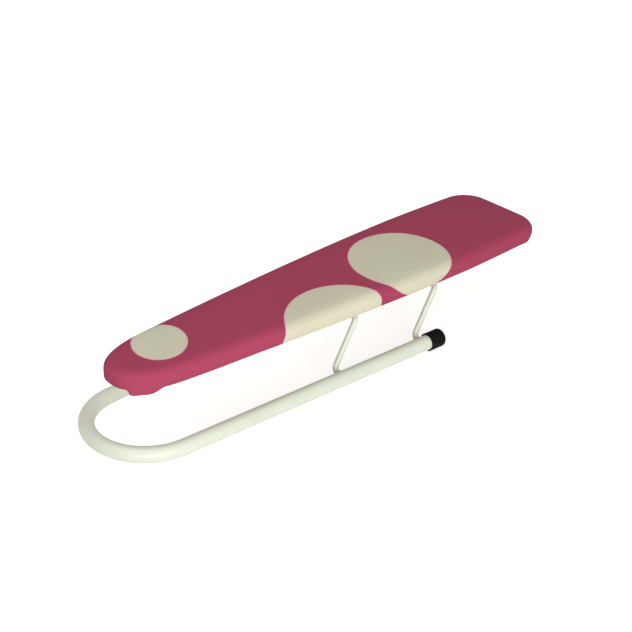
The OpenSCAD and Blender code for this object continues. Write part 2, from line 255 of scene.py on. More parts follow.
make_floor()
print("floor:", 2 * FLOOR_HALF, "m wide")

# %% [markdown]
# ## The light
# The world gives an even light from all round, and is white where it is seen. Two large
# lamps give form and soft shadows. The stronger one stands low on the camera's side,
# which is why the sides are brighter than the top.

# %% World and lamps
WORLD_LIGHT = 0.405
LAMP_AIM = (0, 0, 0.04)
LAMPS = {  # place and size in metres, power in watts
    "front_softbox": ((-0.75, -1.52, 0.5), (1.6, 0.9), 25),
    "top_softbox": ((-0.7, 0.1, 1.5), (1.4, 1.2), 7.5),
}


def make_world(strength):
    world = bpy.data.worlds.new("studio")
    scene.world = world
    world.use_nodes = True
    tree = world.node_tree
    tree.nodes.clear()
    lights = [add_node(tree, "ShaderNodeBackground", {"Color": WHITE, "Strength": level})
              for level in (strength, 1.0)]
    mix = add_node(tree, "ShaderNodeMixShader", enumerate([seen_rays(tree)] + lights))
    add_node(tree, "ShaderNodeOutputWorld", {"Surface": mix})


def make_lamp(name, place, size, watts):
    lamp = bpy.data.objects.new(name, bpy.data.lights.new(name, "AREA"))
    scene.collection.objects.link(lamp)
    lamp.data.shape = "RECTANGLE"
    lamp.data.size, lamp.data.size_y = size
    lamp.data.energy = watts
    lamp.location = place
    lamp.rotation_mode = "QUATERNION"
    lamp.rotation_quaternion = (Vector(LAMP_AIM) - Vector(place)).to_track_quat("-Z", "Y")


make_world(WORLD_LIGHT)
for name, (place, size, watts) in LAMPS.items():
    make_lamp(name, place, size, watts)

# %% [markdown]
# ## The plan of the board
# Seen from above, the board is a long taper with a blunt round nose and a wide end with
# rounded corners. It could be drawn as a curve by hand. A function that gives the half
# width at any place is better here, because the cover, the foam, the hem and the stitches
# all ask it for the same outline.

# %% Half width along the board
cover_low, cover_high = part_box("cover")
NOSE_X = cover_low.x
BOARD_LENGTH = cover_high.x - cover_low.x
WIDEST_HALF = (cover_high.y - cover_low.y) / 2
TOP_Z = cover_high.z
PANEL_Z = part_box("board_panel")[0].z
WIDEST_AT = 425 * MM
TAPER_RUN = 324 * MM
TAPER_DROP = 18.3 * MM
TAPER_POWER = 1.6
NOSE_LENGTH = 60 * MM
NOSE_POWER = 2.5
NOSE_CROWDING = 1.1
CORNER_RADIUS = 32 * MM


def taper_half(x):
    return WIDEST_HALF - TAPER_DROP * (abs(x - WIDEST_AT) / TAPER_RUN) ** TAPER_POWER


def half_width(x):
    if x >= NOSE_LENGTH:
        return taper_half(x)
    short = (NOSE_LENGTH - x) / NOSE_LENGTH
    return taper_half(x) * (1 - short ** NOSE_POWER) ** (1 / NOSE_POWER)


print("half widths, mm:", [round(half_width(x * MM) / MM, 1) for x in (10, 60, 200, 425)])

# %% [markdown]
# ## Points round the board
# The outline is a ring of points: nose tip, left side, end and right side. They crowd at
# the nose and the corners, because a curve made of straight pieces shows there first.

# %% Outline of the board
NOSE_STATIONS = 24
SIDE_STATIONS = 92
CORNER_STATIONS = 14
ACROSS = 24

corner_x = BOARD_LENGTH - CORNER_RADIUS
end_half = taper_half(corner_x) - CORNER_RADIUS


def side_line():
    """The left side from just behind the nose tip to the end of the corner."""
    line = []
    for i in range(1, NOSE_STATIONS):
        x = NOSE_LENGTH * (1 - math.cos(math.pi / 2 * i / NOSE_STATIONS) ** NOSE_CROWDING)
        line.append(Vector((x, half_width(x))))
    for i in range(SIDE_STATIONS):
        x = NOSE_LENGTH + (corner_x - NOSE_LENGTH) * i / SIDE_STATIONS
        line.append(Vector((x, half_width(x))))
    for i in range(CORNER_STATIONS + 1):
        a = math.pi / 2 * (1 - i / CORNER_STATIONS)
        line.append(Vector((corner_x + CORNER_RADIUS * math.cos(a),
                            end_half + CORNER_RADIUS * math.sin(a))))
    return line


left_line = side_line()
end_line = [Vector((BOARD_LENGTH, end_half * (1 - 2 * j / ACROSS))) for j in range(1, ACROSS)]
right_line = [Vector((p.x, -p.y)) for p in reversed(left_line)]
outline = [Vector((0, 0))] + left_line + end_line + right_line
ROUND = len(outline)
SIDE = len(left_line)


def outward(i):
    run = outline[(i + 1) % ROUND] - outline[i - 1]
    return Vector((-run.y, run.x)).normalized()


outline_out = [outward(i) for i in range(ROUND)]
outline_at = [0.0]
for i in range(ROUND):
    outline_at.append(outline_at[-1] + (outline[(i + 1) % ROUND] - outline[i]).length)
print(f"outline: {ROUND} points, {outline_at[-1]:.3f} m round")

# %% [markdown]
# ## The section of the cover
# The cloth runs from the raw edge of its hem, under the panel, round the bottom fold, up
# the side and over the padded edge to the flat top. The padding makes the side stand out
# a little, and the top edge is a soft quarter of an ellipse. Each entry of the section
# says how far in from the outline it lies, how high, how much of the bunched cloth and of
# the bulge it carries, and how far along the cloth it is from the flat top. That last
# number unrolls the cloth, so a printed dot runs over the edge.

# %% Section from hem to top
CLOTH = 0.8 * MM
EDGE_ACROSS = 10.5 * MM
EDGE_DOWN = 8.6 * MM
BULGE = 1.3 * MM
HEM_WIDTH = 18 * MM
HEM_GAP = 0.05 * MM
HEM_Z = PANEL_Z - HEM_GAP - CLOTH
FOLD = 0.8 * MM
FOLD_CUT = 0.3
ROUND_Z = TOP_Z - EDGE_DOWN
SIDE_Z = HEM_Z + FOLD
EDGE_STEPS = 8
SIDE_STEPS = 4
HEM_STEPS = 11
GATHER_WIDTH = 7.5 * MM


def cover_section():
    section = []
    for i in range(HEM_STEPS):
        inset = HEM_WIDTH + (FOLD - HEM_WIDTH) * i / (HEM_STEPS - 1)
        share = max(0.0, 1 - (inset - FOLD) / (GATHER_WIDTH - FOLD))
        section.append((inset, HEM_Z, share, 0.0))
    section.append((FOLD_CUT * FOLD, HEM_Z + FOLD_CUT * FOLD, 1.0, 0.0))
    for i in range(SIDE_STEPS):
        share = i / SIDE_STEPS
        section.append((0.0, SIDE_Z + (ROUND_Z - SIDE_Z) * share, 1 - share,
                        1 - (1 - share) ** 2))
    for i in range(EDGE_STEPS + 1):
        a = math.pi / 2 * i / EDGE_STEPS
        section.append((EDGE_ACROSS * (1 - math.cos(a)), ROUND_Z + EDGE_DOWN * math.sin(a),
                        0.0, 1.0))
    run = [0.0]
    for above, below in zip(section[::-1], section[-2::-1]):
        across = above[0] - below[0] - BULGE * (above[3] - below[3])
        run.append(run[-1] + math.hypot(across, above[1] - below[1]))
    return [entry + (far,) for entry, far in zip(section, run[::-1])]


section = cover_section()
RINGS = len(section)
FOLD_RING = HEM_STEPS
FLAT_INSET = EDGE_ACROSS - BULGE
print(f"section: {RINGS} rings, hem at {HEM_Z / MM:.2f} mm, top at {TOP_Z / MM:.2f} mm")

# %% [markdown]
# ## Where the cloth bunches
# Cloth that is turned under a curved edge has too much length on the inside. Under the
# nose it bunches into a lump that hangs below the hem, with a sharp tuck where it starts.
# At the two corners of the wide end it only hangs a little. A tuck is given for a point
# of the outline, counted from the nose tip: minus numbers go round by the right side.

# %% Gathers and tucks
GATHER_DROP = 6 * MM
GATHER_STEPS = [2.8 * MM, 8.2 * MM, 23 * MM, 39 * MM]
SAG = 0.8 * MM
SAG_STEPS = [0, 12 * MM, 80 * MM, 150 * MM]
CORNER_HANG = 2.2 * MM
CORNER_TURN = 1.0 * MM
FULL_FROM = 80 * MM
TUCKS = {-6: 4.5 * MM, -7: -0.9 * MM, -8: -0.5 * MM, -11: 0.9 * MM, 5: 2.0 * MM, 9: 1.2 * MM}
TUCK_ROOM = 0.5 * MM
CURVE_REACH = 3
TIGHT_RADIUS = 28 * MM


def eased(share):
    share = min(1.0, max(0.0, share))
    return share * share * (3 - 2 * share)


def plateau(x, steps):
    """From 0 up to 1 between the first two steps, and down again between the last two."""
    return eased((x - steps[0]) / (steps[1] - steps[0])) * eased(
        (steps[3] - x) / (steps[3] - steps[2]))


def curving(i):
    """From 0 on a straight side to 1 where the outline turns tightly."""
    before, after = i - CURVE_REACH, (i + CURVE_REACH) % ROUND
    run = (outline[after] - outline[before]).length
    turn = outline_out[before].angle(outline_out[after], 0.0)
    return min(1.0, turn / run * TIGHT_RADIUS)


def at_corner(i):
    return curving(i) if outline[i].x > BOARD_LENGTH / 2 else 0.0


def hang(i):
    """How far the cloth hangs below the hem at one place on the outline."""
    x = outline[i].x
    if x > BOARD_LENGTH / 2:
        return CORNER_HANG * at_corner(i)
    return max(GATHER_DROP * plateau(x, GATHER_STEPS), SAG * plateau(x, SAG_STEPS))


def tuck(i, ring):
    """How far a tuck pulls the hanging cloth inwards, or a lip beside it stands out."""
    depth = TUCKS.get(i, TUCKS.get(i - ROUND, 0.0))
    if ring <= FOLD_RING + 1:
        return depth * section[ring][2]
    return min(depth, TUCK_ROOM) * section[ring][2] ** 2


print("cloth hangs at most", round(max(hang(i) for i in range(ROUND)) / MM, 2), "mm")

# %% [markdown]
# ## One grid for the cover
# The rings go round the board, and the top is filled with rows that run straight across
# from the left side to the right. The whole skin is then made of four-sided faces, which
# fold and subdivide cleanly. Every corner also gets its place on the flat cloth, for the
# print and the weave. The skin starts a little small, because the padding will swell it.

# %% Points and faces of the cover
DRAWN_IN = 0.3 * MM
SUNK = 0.35 * MM


def ring_point(i, ring):
    inset, z, share, out, _ = section[ring]
    inset += CORNER_TURN * at_corner(i) * share ** 3 - BULGE * out * eased(
        outline[i].x / FULL_FROM)
    if ring > FOLD_RING:
        inset += DRAWN_IN
        z -= SUNK * max(0.0, (z - ROUND_Z) / EDGE_DOWN)
    p = outline[i] - outline_out[i] * inset
    return Vector((p.x + NOSE_X, p.y, z - share * hang(i)))


def ring_cloth_point(i, ring):
    return outline[i] - outline_out[i] * (FLAT_INSET - section[ring][4])


def cover_grid():
    points = [ring_point(i, ring) for ring in range(RINGS) for i in range(ROUND)]
    cloth = [ring_cloth_point(i, ring) for ring in range(RINGS) for i in range(ROUND)]
    top = (RINGS - 1) * ROUND
    faces = [
        (ring * ROUND + i, (ring + 1) * ROUND + i,
         (ring + 1) * ROUND + (i + 1) % ROUND, ring * ROUND + (i + 1) % ROUND)
        for ring in range(RINGS - 1) for i in range(ROUND)
    ]
    rows = []
    for i in range(1, SIDE):
        left, right = top + i, top + ROUND - i
        row = [left]
        for j in range(1, ACROSS):
            share = j / ACROSS
            row.append(len(points))
            points.append(points[left].lerp(points[right], share))
            cloth.append(cloth[left].lerp(cloth[right], share))
        rows.append(row + [right])
    rows.append([top + i for i in range(SIDE, SIDE + ACROSS + 1)])
    for upper, lower in zip(rows, rows[1:]):
        faces += [(upper[j], lower[j], lower[j + 1], upper[j + 1]) for j in range(ACROSS)]
    faces += [(top, rows[0][j], rows[0][j + 1]) for j in range(ACROSS)]
    return points, cloth, faces


points, cloth, faces = cover_grid()
print(f"cover grid: {len(points)} points, {len(faces)} faces")

# %% [markdown]
# ## Helpers for meshes
# Lists of points and faces become a mesh in one call, and its faces are made to look
# outwards. The other helpers store the places on the flat cloth as a UV map in metres,
# shade a mesh as a smooth skin, and turn a mesh with modifiers into a plain one.

# %% From lists to a mesh
def add_mesh(name, points, faces, edges=()):
    mesh = bpy.data.meshes.new(name)
    mesh.from_pydata([tuple(p) for p in points], edges, faces)
    mesh.validate()
    made = bmesh.new()
    made.from_mesh(mesh)
    bmesh.ops.recalc_face_normals(made, faces=made.faces)
    made.to_mesh(mesh)
    made.free()
    obj = bpy.data.objects.new(name, mesh)
    scene.collection.objects.link(obj)
    return obj


def cloth_uv(obj, cloth):
    layer = obj.data.uv_layers.new(name="flat_cloth")
    for loop in obj.data.loops:
        layer.data[loop.index].uv = cloth[loop.vertex_index]


def smooth_shaded(obj):
    for face in obj.data.polygons:
        face.use_smooth = True


def applied(obj, name):
    """The object with its modifiers made real, as a new plain mesh object."""
    graph = bpy.context.evaluated_depsgraph_get()
    mesh = bpy.data.meshes.new_from_object(
        obj.evaluated_get(graph), preserve_all_data_layers=True, depsgraph=graph)
    mesh.name = name
    made = bpy.data.objects.new(name, mesh)
    scene.collection.objects.link(made)
    bpy.data.objects.remove(obj)
    return made


print("flat cloth reaches to, mm:", [round(max(p[k] for p in cloth) / MM) for k in (0, 1)])

# %% [markdown]
# ## Let the padding push the cloth out
# A real cover is stapled down tight and the foam under it pushes back. A short cloth
# simulation gives that fullness: the hem is pinned, the gravity is off, and pressure
# swells the skin. The movement is held small, because a taut cover hardly bulges.

# %% Cloth simulation
SWELL_FRAMES = 20
SWELL_LIMIT = 1.5 * MM
SWELL_PRESSURE = 0.2
CLOTH_MASS = 0.3
STRETCH_STIFFNESS = 40
BEND_STIFFNESS = 2
SIM_QUALITY = 6


def bottom_lid():
    """Faces that close the hem's opening, so that the pressure has a closed skin."""
    strips = [(i, ROUND - i, ROUND - i - 1, i + 1) for i in range(1, SIDE)]
    return [(0, ROUND - 1, 1)] + strips + [tuple(range(SIDE + ACROSS, SIDE - 1, -1))]


def swollen(points, faces):
    work = add_mesh("cover_work", points, faces + bottom_lid())
    pins = work.vertex_groups.new(name="pins")
    pins.add(list(range((FOLD_RING + 1) * ROUND)), 1.0, "REPLACE")
    settings = work.modifiers.new("cloth", "CLOTH").settings
    settings.quality = SIM_QUALITY
    settings.mass = CLOTH_MASS
    settings.tension_stiffness = settings.compression_stiffness = STRETCH_STIFFNESS
    settings.bending_stiffness = BEND_STIFFNESS
    settings.use_pressure = True
    settings.uniform_pressure_force = SWELL_PRESSURE
    settings.effector_weights.gravity = 0
    settings.vertex_group_mass = "pins"
    for frame_number in range(1, SWELL_FRAMES + 1):
        scene.frame_set(frame_number)
    graph = bpy.context.evaluated_depsgraph_get()
    result = work.evaluated_get(graph).data
    moved = []
    for start, vertex in zip(points, result.vertices):
        shift = vertex.co - start
        far = shift.length
        if far:
            shift *= SWELL_LIMIT * math.tanh(far / SWELL_LIMIT) / far
        moved.append(start + shift)
    bpy.data.objects.remove(work)
    scene.frame_set(1)
    return moved


shaped = swollen(points, faces)
lift = [(b - a).length for a, b in zip(points, shaped)]
print(f"swelling: most {max(lift) / MM:.2f} mm, mean {sum(lift) / len(lift) / MM:.2f} mm")

# %% [markdown]
# ## Puckers and small unevenness
# Between the staples, the spare cloth round the nose and at the two corners stands up in
# small radial pleats: a wave along the outline that fades towards the fold and only ever
# moves away from the wood. A second, slower wave makes them unequal. The rest of the skin
# gets a very slight unevenness, as stretched cotton has. The tucks come in here too,
# because the simulation would have smoothed them.

# %% Pleats under the curved parts
PLEAT_LENGTH = 9 * MM
PLEAT_HEIGHT = 1.1 * MM
PLEAT_SHARPNESS = 1.5
PLEAT_SHIFT = 1.3
PLEAT_SHIFT_PACE = 0.7
STAPLE_INSET = 11 * MM
UNEVEN = 0.12 * MM
UNEVEN_PACE = 30


def pleat(i, ring):
    along = outline_at[i] / PLEAT_LENGTH
    fade = abs(math.sin(math.pi * section[ring][0] / STAPLE_INSET))
    shift = PLEAT_SHIFT * math.sin(along * PLEAT_SHIFT_PACE)
    wave = 0.5 + 0.5 * math.sin(2 * math.pi * along + shift)
    return PLEAT_HEIGHT * wave ** PLEAT_SHARPNESS * fade * curving(i)


finished = []
for index, p in enumerate(shaped):
    ring, i = divmod(index, ROUND)
    q = p.copy()
    if ring < RINGS:
        q -= outline_out[i].to_3d() * tuck(i, ring)
    if ring < HEM_STEPS:
        q.z -= pleat(i, ring)
    elif ring > FOLD_RING:
        away = (p - Vector((p.x / 2, 0, ROUND_Z))).normalized()
        q += away * UNEVEN * noise.noise(p * UNEVEN_PACE)
    finished.append(q)

cover_skin = add_mesh("cover_skin", finished, faces)
cloth_uv(cover_skin, cloth)
print("cover skin faces up:", cover_skin.data.polygons[len(faces) - ACROSS * 4].normal.z > 0)

# %% [markdown]
# ## From a skin to cloth
# One level of subdivision rounds the grid, and a solidify modifier grows the cloth's
# thickness inwards. Half the area of the closed result is the area of the cloth, and the
# length of the section says how large the cloth was cut.

# %% Smooth the skin and give the cloth its thickness
smooth_shaded(cover_skin)
smoother = cover_skin.modifiers.new("smoother", "SUBSURF")
smoother.levels = smoother.render_levels = 1
smoother.uv_smooth = "PRESERVE_BOUNDARIES"
thickness = cover_skin.modifiers.new("thickness", "SOLIDIFY")
thickness.thickness = CLOTH
thickness.offset = -1
cover = applied(cover_skin, "cover_cloth")

# %% [markdown]
# ## The foam under the cloth
# The foam pad can't be seen while the cover is on, but it is a piece of its own. It takes
# its top from the finished cover, moved inwards by the cloth's thickness and a hair more,
# so the two can never cut through each other. A point moves against the mean direction
# of the faces round it, turned round where that would lead out of the pad.

# %% Foam pad
FOAM_CLEARANCE = 0.2 * MM
FOAM_SKIRT = 1.2 * MM
NEAR_TOP = 2 * MM
CORE_SHARE = 0.98
CORE_DEPTH = 4 * MM
foam_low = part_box("foam_pad")[0]
first_foam_ring = next(r for r in range(RINGS) if section[r][1] > foam_low.z + FOAM_SKIRT)


def foam_pad():
    normals = [Vector((0, 0, 0)) for _ in finished]
    for face in faces:
        corners = [finished[i] for i in face]
        flat = (corners[2] - corners[0]).cross(corners[-1] - corners[1])
        if len(face) > 3 and flat.z < 0 and corners[0].z > TOP_Z - NEAR_TOP:
            flat = -flat
        for i in face:
            normals[i] += flat
    points_kept = [i for i in range(len(finished)) if i >= first_foam_ring * ROUND]
    renamed = {old: new + ROUND for new, old in enumerate(points_kept)}
    upper = []
    for i in points_kept:
        inwards = -normals[i].normalized()
        core = Vector((finished[i].x * CORE_SHARE, 0, ROUND_Z - CORE_DEPTH))
        if inwards.dot(core - finished[i]) < 0:
            inwards = -inwards
        upper.append(finished[i] + inwards * (CLOTH + FOAM_CLEARANCE))
    lower = [Vector((p.x, p.y, foam_low.z)) for p in upper[:ROUND]]
    skin = [tuple(renamed[i] for i in face) for face in faces if min(face) in renamed]
    wall = [(i, ROUND + i, ROUND + (i + 1) % ROUND, (i + 1) % ROUND) for i in range(ROUND)]
    return lower + upper, skin + wall + bottom_lid()


foam = add_mesh("foam_pad_soft", *foam_pad())
smooth_shaded(foam)
print(f"foam: {len(foam.data.polygons)} faces, top at",
      round(max(v.co.z for v in foam.data.vertices) / MM, 2))

# %% [markdown]
# ## The printed dots
# The cover is one pink cotton cloth with three very large cream dots. The dots are drawn
# on the flat cloth's own coordinates, so each one wraps over the padded edge. A dot is an
# ellipse: measured along its long and its short radius, a point on its rim is at 1. An
# image could carry the print too, but a formula stays sharp however near one looks.

# %% Distance to the dots
DOTS = [  # centre along the board and across it, long and short radius, in millimetres
    (361.8, -19.1, 60.7, 55.0),
    (231.0, -75.9, 69.9, 62.5),
    (64.2, 8.8, 33.8, 27.5),
]
DOT_BIAS = math.radians(52)


def gap_to_dots(finish, along, across):
    """Millimetres from a place on the cloth to the nearest rim, less than 0 in a dot."""
    nearest = None
    for x, y, long_radius, short_radius in DOTS:
        dx = finish.math("SUBTRACT", along, x)
        dy = finish.math("SUBTRACT", across, y)
        squares = []
        for turn, radius in ((DOT_BIAS, long_radius), (DOT_BIAS + math.pi / 2, short_radius)):
            part = finish.math(
                "ADD", finish.math("MULTIPLY", dx, math.cos(turn) / radius),
                finish.math("MULTIPLY", dy, math.sin(turn) / radius))
            squares.append(finish.math("MULTIPLY", part, part))
        far = finish.math("SQRT", finish.math("ADD", *squares))
        gap = finish.math("MULTIPLY", finish.math("SUBTRACT", far, 1.0),
                          math.sqrt(long_radius * short_radius))
        nearest = gap if nearest is None else finish.math("MINIMUM", nearest, gap)
    return nearest


print("dots:", len(DOTS), "the largest", 2 * max(dot[2] for dot in DOTS), "mm long")

# %% [markdown]
# ## The cotton
# Where pink and cream meet, the print leaves a thin pale line that wanders a little with
# the threads. Two sine waves multiplied make the over and under of a plain weave, as a
# bump. Faint clouds and thread shadows keep a large plain face from looking painted.

# %% Finish of the cover
PINK = srgb(166, 66, 92)
CREAM = srgb(212, 209, 183)
PALE_LINE = srgb(222, 176, 176)
CLOUD_TONE = srgb(120, 60, 70)
THREAD_SHADE_TONE = srgb(90, 50, 55)
LINE_WIDTH = 1.3  # this and the next three in millimetres, as the dots are
LINE_BLUR = 0.3
RIM_WANDER = 0.25
WEAVE_PITCH = 0.55


def cotton_finish():
    finish = Finish("printed_cotton", Roughness=0.8, Sheen_Weight=0.02, Sheen_Roughness=0.5,
                    Specular_IOR_Level=0.06)
    uv = finish.uv_point("flat_cloth")
    split = finish.node("ShaderNodeSeparateXYZ", {"Vector": uv})
    along, across = (finish.math("MULTIPLY", split.outputs[k], 1 / MM) for k in (0, 1))
    ragged = finish.noise(uv, scale=900.0, detail=1.0)
    wander = finish.span(ragged, 0.0, 1.0, -RIM_WANDER, RIM_WANDER)
    gap = finish.math("ADD", gap_to_dots(finish, along, across), wander)
    in_dot = finish.span(gap, LINE_BLUR / 2 - LINE_WIDTH, -LINE_BLUR / 2 - LINE_WIDTH)
    in_line = finish.span(gap, LINE_BLUR / 2, -LINE_BLUR / 2)
    printed = finish.mix(in_dot, finish.mix(in_line, PINK, PALE_LINE), CREAM)
    cloud = finish.noise(uv, scale=14.0, detail=3.0)
    clouded = finish.mix(finish.span(cloud, *MIDDLE, 0.0, 0.07), printed, CLOUD_TONE)
    waves = [finish.math("SINE", finish.math("MULTIPLY", axis, math.pi / WEAVE_PITCH))
             for axis in (along, across)]
    weave = finish.math("MULTIPLY", finish.math("MULTIPLY", *waves), 0.5)
    height = finish.math("ADD", weave, finish.noise(uv, scale=700.0, detail=2.0))
    # painted shade: the low places of the weave are darkened a little, as thread shadows
    shade = finish.span(height, -0.2, 1.2, 0.06, 0.0)
    finish.colour(finish.mix(shade, clouded, THREAD_SHADE_TONE))
    finish.bump(height, distance=0.12 * MM, strength=0.35)
    return finish


wear(cover, cotton_finish())
print("cotton:", len(cover.material_slots[0].material.node_tree.nodes), "nodes")

# %% [markdown]
# ## Open-celled foam
# Cut foam shows its cells. A Voronoi pattern is a field of cells, and serves both for the
# colour and, with a finer noise on top, for the bump. The darker middles of the cells are
# painted shade in the pores, where the bump is low.

# %% Finish of the foam
foam_finish = Finish("open_cell_foam", Roughness=0.95, Specular_IOR_Level=0.1)
point = foam_finish.object_point()
cells = foam_finish.node("ShaderNodeTexVoronoi", {"Vector": point, "Scale": 900.0})
# painted shade: the cell middles, which are the low places of the bump, are darkened
foam_finish.colour(foam_finish.ramp(
    cells, (0.0, srgb(150, 132, 96)), (0.6, srgb(226, 212, 172))))
fine = foam_finish.noise(point, scale=2200.0, detail=2.0)
foam_finish.bump(foam_finish.math("ADD", cells, fine), distance=0.4 * MM, strength=0.6)
wear(foam, foam_finish)
print("foam finish:", len(foam_finish.tree.nodes), "nodes")

# %% [markdown]
# ## Powder coat, rubber and nylon
# These three are of one kind: the colour and the gloss drift in soft clouds, over a fine
# even grain. The grain of powder coat is a faint orange peel, with rare darker specks.
# Moulded rubber is matt, and nylon is milky because light goes a little way into it.

# %% Finishes with soft clouds
def clouded_finish(name, tints, tint_span, roughness, cloud, grain, depth, strength, **sockets):
    """Clouds choose between two tints and two roughnesses, and the grain is a bump."""
    finish = Finish(name, **sockets)
    point = finish.object_point()
    cloud = finish.noise(point, *cloud)
    tint = finish.mix(finish.span(cloud, *tint_span), *tints)
    finish.colour(tint)
    finish.roughness(finish.span(cloud, 0.2, 0.8, *roughness))
    finish.bump(finish.noise(point, *grain), depth, strength)
    return finish, tint


powder_coat, coat_tint = clouded_finish(
    "cream_powder_coat", tints=(srgb(202, 207, 190), srgb(210, 213, 197)), tint_span=MIDDLE,
    roughness=(0.34, 0.44), cloud=(18.0, 3.0), grain=(700.0, 2.0), depth=0.08 * MM,
    strength=0.3, Coat_Weight=0.1, Coat_Roughness=0.2, Specular_IOR_Level=0.4)
specks = powder_coat.noise(powder_coat.object_point(), scale=1500.0, detail=1.0)
powder_coat.colour(powder_coat.mix(
    powder_coat.span(specks, 0.74, 0.8, 0.0, 0.35), coat_tint, srgb(150, 148, 130)))
rubber = clouded_finish(
    "black_rubber", tints=(srgb(15, 14, 10), srgb(22, 21, 16)), tint_span=MIDDLE,
    roughness=(0.5, 0.66), cloud=(60.0, 3.0), grain=(1400.0, 3.0), depth=0.1 * MM,
    strength=0.5, Specular_IOR_Level=0.04)[0]
nylon = clouded_finish(
    "milky_nylon", tints=(srgb(222, 219, 206), srgb(206, 202, 188)), tint_span=(0, 1),
    roughness=(0.38, 0.5), cloud=(120.0, 2.0), grain=(1800.0, 1.0), depth=0.05 * MM,
    strength=0.3, Subsurface_Weight=0.15, Subsurface_Scale=0.002)[0]
print("clouded:", [f.material.name for f in (powder_coat, rubber, nylon)])

# %% [markdown]
# ## Zinc
# Plated steel that has been handled is dull: the crystals of the zinc show as cells of
# lighter and darker grey, and fine scuffs break up its shine.

# %% Finish of the small steel parts
zinc = Finish("dull_zinc", Metallic=0.9)
point = zinc.object_point()
crystals = zinc.node("ShaderNodeTexVoronoi", {"Vector": point, "Scale": 350.0})
zinc.colour(zinc.mix(crystals, srgb(196, 197, 196), srgb(160, 162, 163)))
scuffs = zinc.noise(point, scale=240.0, detail=4.0, roughness=0.7)
zinc.roughness(zinc.span(scuffs, *MIDDLE, 0.3, 0.5))
zinc.bump(scuffs, distance=0.05 * MM, strength=0.4)
print("zinc:", len(zinc.tree.nodes), "nodes")

# %% [markdown]
# ## Plywood
# The face has long grain, which is noise stretched along the board. The edge shows plies:
# the height above the panel's underside, counted in pairs of plies, picks the dark ones.

# %% Finish of the panel
PLY = 2.2 * MM
PLY_BLUR = 0.1 * MM
DARK_SHARE = 0.35
GRAIN_STRETCH = (6.0, 90.0, 30.0)
FIBRE_STRETCH = (40.0, 900.0, 900.0)


def plywood_finish():
    finish = Finish("plywood", Roughness=0.7, Specular_IOR_Level=0.25)
    point = finish.object_point()
    grain, fibre = (
        finish.noise(finish.node("ShaderNodeMapping", {"Vector": point, "Scale": stretch}),
                     1.0, detail, roughness)
        for stretch, detail, roughness in ((GRAIN_STRETCH, 6.0, 0.65), (FIBRE_STRETCH, 3.0, 0.5)))
    face = finish.ramp(grain, (0.3, srgb(176, 138, 92)), (0.5, srgb(205, 170, 122)),
                       (0.7, srgb(190, 152, 104)))
    height = finish.node("ShaderNodeSeparateXYZ", {"Vector": point}).outputs[2]
    layer = finish.math("MODULO", finish.math("SUBTRACT", height, PANEL_Z), 2 * PLY)
    dark_ply = finish.span(layer, PLY - PLY_BLUR, PLY + PLY_BLUR, 0.0, DARK_SHARE)
    finish.colour(finish.mix(dark_ply, face, srgb(140, 100, 62)))
    finish.bump(finish.math("ADD", grain, fibre), distance=0.2 * MM, strength=0.4)
    return finish


plywood = plywood_finish()
print("plywood:", len(plywood.tree.nodes), "nodes")

# %% [markdown]
# ## Dress the solids that stay
# A packed solid keeps its mesh and only gets a finish, by the start of its name. Whatever
# isn't listed is a small steel part.

# %% Finishes by name
FINISHES = (("base_tube", powder_coat), ("nose_leg", powder_coat), ("wide_leg", powder_coat),
            ("end_cap", rubber), ("foot_bush", nylon), ("board_panel", plywood))

for name, node in nodes.items():
    wear(node, next((finish for start, finish in FINISHES if name.startswith(start)), zinc))
print("finished nodes:", len(nodes))

# %% [markdown]
# ## Fixings from Geometry Nodes
# Screws, staples and stitches repeat, so each kind is modelled once and a small node tree
# sets a copy at every place. The places of the screws and staples are read from the packed
# solids: each loose island of the mesh is one fixing.

# %% Places of the fixings
WELD = 0.001 * MM


def islands(node):
    """The corners of each separate solid in a packed node, in the order of their places."""
    made = bmesh.new()
    made.from_mesh(node.data)
    bmesh.ops.remove_doubles(made, verts=made.verts, dist=WELD)
    left = set(made.verts)
    found = []
    while left:
        queue, island = [left.pop()], []
        while queue:
            vertex = queue.pop()
            island.append(vertex.co.copy())
            for edge in vertex.link_edges:
                other = edge.other_vert(vertex)
                if other in left:
                    left.remove(other)
                    queue.append(other)
        found.append(island)
    made.free()
    return sorted(found, key=lambda corners: [round(min(c[k] for c in corners), 5)
                                              for k in (0, 1)])


def long_way(corners):
    """Direction in plan of the longest line across a set of corners."""
    low = min(corners, key=lambda c: c.x + c.y / 1000)
    far = max(corners, key=lambda c: (c - low).xy.length)
    return math.atan2(far.y - low.y, far.x - low.x)


def places_of(node, height):
    """For each fixing: its middle in plan, at the given height, and its turn."""
    places = []
    for corners in islands(nodes[node]):
        x, y = ((min(c[k] for c in corners) + max(c[k] for c in corners)) / 2 for k in (0, 1))
        places.append(((x, y, height), long_way(corners)))
    return places


staple_places = places_of("cover_staples", HEM_Z)
print("staples found:", len(staple_places))

# %% [markdown]
# ### One tree for every kind of fixing
# The tree has named inputs for the shape and its scale, and reads the turn of each copy
# from an attribute of its point. It ends by making the copies into real faces with their
# finish, because mere instances are lost in an export.

